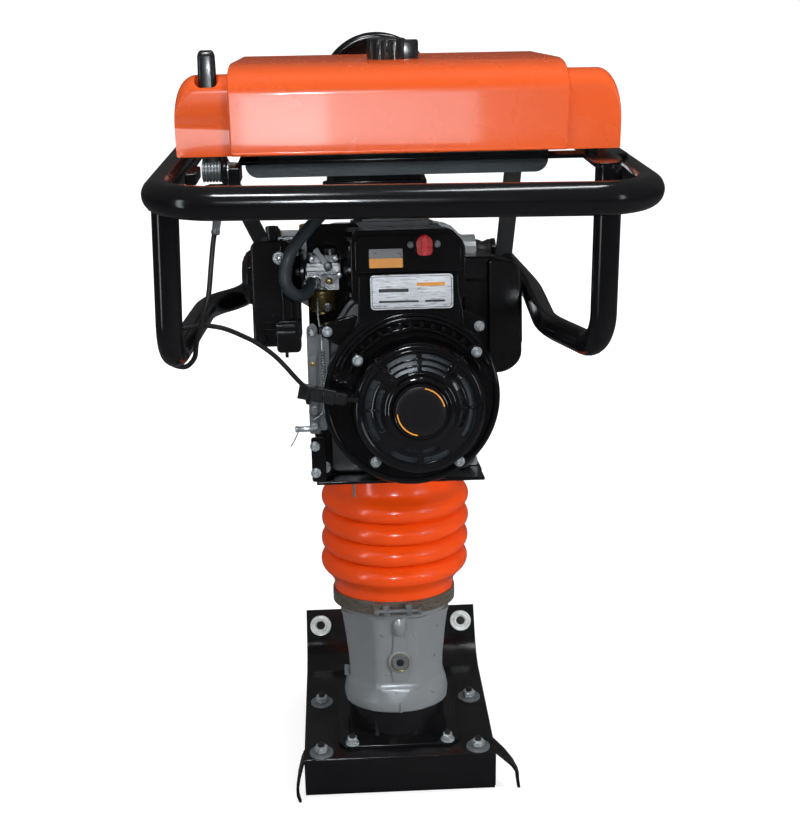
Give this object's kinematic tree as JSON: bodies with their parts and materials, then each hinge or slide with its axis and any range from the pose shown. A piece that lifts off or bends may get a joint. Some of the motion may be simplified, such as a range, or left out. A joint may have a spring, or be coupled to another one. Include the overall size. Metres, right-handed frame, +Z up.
{
  "type": "tamping rammer",
  "caption": "Upright petrol tamping rammer with a sprung leg, ribbed bellows, flat upturned shoe, small engine, loop handle and saddle fuel tank.",
  "frame": {"origin": "centre of the flat sole under the shoe, on the ground", "axes": "+Z up, +Y forward away from the operator, +X to the operator's right; the leg leans 9 degrees forward"},
  "size_m": [0.5086, 0.7995, 1.0636],
  "materials": {
    "black_paint": "gloss",
    "black_plastic": "satin",
    "black_rubber": "matt",
    "slate_rubber": "matt",
    "orange_plastic": "gloss",
    "orange_rubber": "gloss",
    "cast_alloy": "as cast",
    "zinc": "zinc plated",
    "brass": "dull yellow plating",
    "steel": "machined",
    "wood": "laminated",
    "red_plastic": "gloss",
    "silver_label": "brushed"
  },
  "bodies": {
    "foot": {"sole_plate": "black_paint", "shoe_core": "wood", "shoe_top_plate": "black_paint", "shoe_bolt_rear_left": "zinc", "shoe_bolt_rear_right": "zinc", "shoe_bolt_mid_left": "zinc", "shoe_bolt_mid_right": "zinc", "toe_bolt_left": "zinc", "toe_bolt_right": "zinc", "foot_casting": "black_paint", "leg_housing": "cast_alloy", "leg_drain_plug": "zinc", "lower_clamp": "steel", "bellows": "orange_rubber", "spring_cylinder": "steel", "lower_spring": "steel", "upper_spring": "steel"},
    "power_unit": {"crankcase": "cast_alloy", "crankcase_cover": "cast_alloy", "crankcase_breather": "brass", "upper_clamp": "steel", "piston_rod": "steel", "engine_plate": "black_paint", "engine_block": "cast_alloy", "engine_cylinder": "cast_alloy", "fan_shroud": "black_paint", "recoil_cover": "black_paint", "recoil_badge": "black_plastic", "label_plate": "silver_label", "carburettor": "zinc", "float_bowl": "brass", "air_cleaner_case": "black_plastic", "air_cleaner_cap": "black_plastic", "control_bracket": "zinc", "muffler_guard": "black_paint", "strut_buffer_left": "black_rubber", "strut_buffer_right": "black_rubber", "fuel_hose": "slate_rubber", "throttle_cable": "black_rubber"},
    "conrod": {"connecting_rod": "steel"},
    "crank": {"crank_gear": "steel"},
    "clutch_output": {"clutch_drum": "steel"},
    "engine_rotor": {"crankshaft": "steel", "flywheel_fan": "cast_alloy"},
    "starter_pulley": {"recoil_pulley": "black_plastic"},
    "starter_grip": {"recoil_grip": "black_rubber"},
    "stop_switch": {"stop_switch_knob": "red_plastic"},
    "choke": {"choke_lever": "zinc"},
    "governor_arm": {"control_arm": "zinc"},
    "handle": {"handle_frame": "black_paint", "rubber_mount_left": "black_rubber", "rubber_mount_right": "black_rubber", "tank_cover": "orange_plastic", "fuel_tank": "black_plastic", "lift_eye": "black_paint", "fuel_tap": "brass", "throttle_clamp": "black_plastic"},
    "throttle": {"throttle_lever": "black_plastic"},
    "filler_cap": {"fuel_cap": "black_plastic"},
    "tap_lever": {"fuel_tap_lever": "red_plastic"}
  },
  "joints": [
    {"name": "ram_stroke", "type": "slide", "parent": "foot", "child": "power_unit", "axis": [0, 0.1564, 0.9877], "range_m": [-0.03, 0.03], "stiffness_N_per_m": 20000, "springref_m": 0.02761, "deforming": ["bellows", "lower_spring", "upper_spring"]},
    {"name": "rod_swing", "type": "hinge", "parent": "power_unit", "child": "conrod", "pos_m": [0, 0.00352, 0.52921], "axis": [0, -0.9877, 0.1564], "range_deg": [0, 19.4]},
    {"name": "crank_spin", "type": "hinge", "parent": "power_unit", "child": "crank", "pos_m": [0, 0.02905, 0.69039], "axis": [0, 0.9877, -0.1564], "continuous": true},
    {"name": "output_spin", "type": "hinge", "parent": "power_unit", "child": "clutch_output", "pos_m": [0.018, 0.01526, 0.60329], "axis": [0, 0.9877, -0.1564], "continuous": true},
    {"name": "engine_spin", "type": "hinge", "parent": "power_unit", "child": "engine_rotor", "pos_m": [0.018, 0.01526, 0.60329], "axis": [0, 0.9877, -0.1564], "continuous": true},
    {"name": "starter_pull", "type": "slide", "parent": "power_unit", "child": "starter_grip", "axis": [-0.3505, -0.8512, 0.3906], "range_m": [0, 0.3], "stiffness_N_per_m": 6, "springref_m": -0.3},
    {"name": "starter_pulley_turn", "type": "hinge", "parent": "power_unit", "child": "starter_pulley", "pos_m": [0.018, 0.01526, 0.60329], "axis": [0, 0.9877, -0.1564], "range_deg": [-5, 400]},
    {"name": "stop_switch_turn", "type": "hinge", "parent": "power_unit", "child": "stop_switch", "pos_m": [0.031, -0.32477, 0.83635], "axis": [0, 0.9877, -0.1564], "range_deg": [0, 60]},
    {"name": "choke_turn", "type": "hinge", "parent": "power_unit", "child": "choke", "pos_m": [-0.079, -0.27224, 0.80171], "axis": [0, 0.9877, -0.1564], "range_deg": [-20, 30]},
    {"name": "handle_rock", "type": "hinge", "parent": "power_unit", "child": "handle", "pos_m": [0, 0, 0.75], "axis": [1, 0, 0], "range_deg": [-1.5, 1.5], "stiffness_Nm_per_rad": 6000, "springref_deg": -0.52, "deforming": ["strut_buffer_left", "strut_buffer_right", "fuel_hose", "throttle_cable"]},
    {"name": "throttle_turn", "type": "hinge", "parent": "handle", "child": "throttle", "pos_m": [-0.192, -0.43, 0.94], "axis": [-1, 0, 0], "range_deg": [0, 35]},
    {"name": "control_arm_turn", "type": "hinge", "parent": "power_unit", "child": "governor_arm", "pos_m": [-0.0995, -0.33002, 0.64279], "axis": [0, 0.9877, -0.1564], "range_deg": [-14, 0]},
    {"name": "fuel_cap_turn", "type": "hinge", "parent": "handle", "child": "filler_cap", "pos_m": [0, -0.355, 1.0451], "axis": [0, 0, 1], "range_deg": [0, 120]},
    {"name": "fuel_tap_turn", "type": "hinge", "parent": "handle", "child": "tap_lever", "pos_m": [-0.0883, -0.203, 0.916], "axis": [1, 0, 0], "range_deg": [0, 90]}
  ],
  "couplings": [
    {"joint": "crank_spin", "follows": "output_spin", "ratio": -0.25},
    {"joint": "starter_pulley_turn", "follows": "starter_pull", "rad_per_m": 22.222},
    {"joint": "control_arm_turn", "follows": "throttle_turn", "ratio": -0.4}
  ]
}
